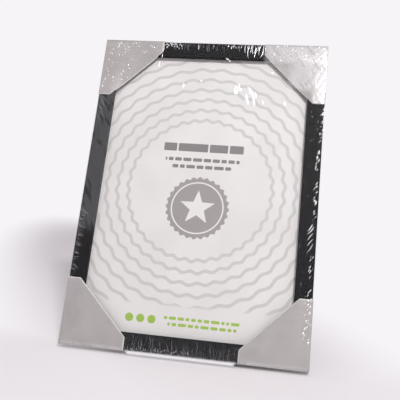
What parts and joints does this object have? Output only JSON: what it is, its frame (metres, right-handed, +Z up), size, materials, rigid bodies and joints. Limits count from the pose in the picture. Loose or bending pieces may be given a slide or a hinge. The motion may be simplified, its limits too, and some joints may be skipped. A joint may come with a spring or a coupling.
{
  "type": "certificate frame",
  "caption": "Upright frame for a standard sheet: mitred black moulding, clear pane, hinged easel strut, turn buttons, hanger rings, card corner protectors and clear wrap.",
  "frame": {"origin": "on the floor, under the middle of the standing frame's width and depth", "axes": "+Z up, front facing -Y, +X to the viewer's right"},
  "size_m": [0.2374, 0.1298, 0.3143],
  "materials": {
    "moulding": "satin black extruded styrene",
    "clear_pane": "polished clear sheet",
    "insert_paper": "coated printed paper",
    "filler_card": "plain corrugated card",
    "back_board": "smooth pressed fibre board",
    "silver_card": "silver-grey coated card",
    "clear_film": "clear shrink film",
    "plated_steel": "bright zinc plate"
  },
  "bodies": {
    "frame": {"backing_board": "back_board", "corner_protector_bottom_left": "silver_card", "corner_protector_bottom_right": "silver_card", "corner_protector_top_left": "silver_card", "corner_protector_top_right": "silver_card", "corner_v_nails": "plated_steel", "filler_card": "filler_card", "glazing": "clear_pane", "hanger_plate_side": "plated_steel", "hanger_plate_top": "plated_steel", "hanger_rivets": "plated_steel", "hinge_board_leaf": "plated_steel", "hinge_board_rivets": "plated_steel", "hinge_pin": "plated_steel", "insert_sheet": "insert_paper", "rail_bottom": "moulding", "rail_left": "moulding", "rail_right": "moulding", "rail_top": "moulding", "shrink_film": "clear_film", "turn_button_screws": "plated_steel"},
    "strut": {"strut": "back_board", "hinge_strut_leaf": "plated_steel", "hinge_strut_rivets": "plated_steel"},
    "ring_top": {"hanger_ring_top": "plated_steel"},
    "ring_side": {"hanger_ring_side": "plated_steel"},
    "turn_button_1": {"turn_button_1": "plated_steel"},
    "turn_button_2": {"turn_button_2": "plated_steel"},
    "turn_button_3": {"turn_button_3": "plated_steel"},
    "turn_button_4": {"turn_button_4": "plated_steel"},
    "turn_button_5": {"turn_button_5": "plated_steel"},
    "turn_button_6": {"turn_button_6": "plated_steel"},
    "turn_button_7": {"turn_button_7": "plated_steel"},
    "turn_button_8": {"turn_button_8": "plated_steel"}
  },
  "joints": [
    {"name": "strut_hinge", "type": "hinge", "parent": "frame", "child": "strut", "pos_m": [0, 0.01072, 0.19598], "axis": [1, 0, 0], "range_deg": [-32, 0]},
    {"name": "ring_top_swing", "type": "hinge", "parent": "frame", "child": "ring_top", "pos_m": [0, 0.03397, 0.27409], "axis": [1, 0, 0], "range_deg": [-16, 162]},
    {"name": "ring_side_swing", "type": "hinge", "parent": "frame", "child": "ring_side", "pos_m": [0.0815, -0.00258, 0.15455], "axis": [0, 0.2924, 0.9563], "range_deg": [-90, 90]},
    {"name": "turn_button_1_pivot", "type": "hinge", "parent": "frame", "child": "turn_button_1", "pos_m": [-0.037, 0.04117, 0.30379], "axis": [0, 0.9563, -0.2924], "range_deg": [0, 90]},
    {"name": "turn_button_2_pivot", "type": "hinge", "parent": "frame", "child": "turn_button_2", "pos_m": [0.037, 0.04117, 0.30379], "axis": [0, -0.9563, 0.2924], "range_deg": [0, 90]},
    {"name": "turn_button_3_pivot", "type": "hinge", "parent": "frame", "child": "turn_button_3", "pos_m": [0.112, 0.01178, 0.20768], "axis": [0, 0.9563, -0.2924], "range_deg": [-90, 90]},
    {"name": "turn_button_4_pivot", "type": "hinge", "parent": "frame", "child": "turn_button_4", "pos_m": [0.112, -0.02038, 0.10248], "axis": [0, 0.9563, -0.2924], "range_deg": [-90, 90]},
    {"name": "turn_button_5_pivot", "type": "hinge", "parent": "frame", "child": "turn_button_5", "pos_m": [0.037, -0.04976, 0.00638], "axis": [0, 0.9563, -0.2924], "range_deg": [0, 90]},
    {"name": "turn_button_6_pivot", "type": "hinge", "parent": "frame", "child": "turn_button_6", "pos_m": [-0.037, -0.04976, 0.00638], "axis": [0, -0.9563, 0.2924], "range_deg": [0, 90]},
    {"name": "turn_button_7_pivot", "type": "hinge", "parent": "frame", "child": "turn_button_7", "pos_m": [-0.112, -0.02038, 0.10248], "axis": [0, 0.9563, -0.2924], "range_deg": [-90, 90]},
    {"name": "turn_button_8_pivot", "type": "hinge", "parent": "frame", "child": "turn_button_8", "pos_m": [-0.112, 0.01178, 0.20768], "axis": [0, 0.9563, -0.2924], "range_deg": [-90, 90]}
  ]
}
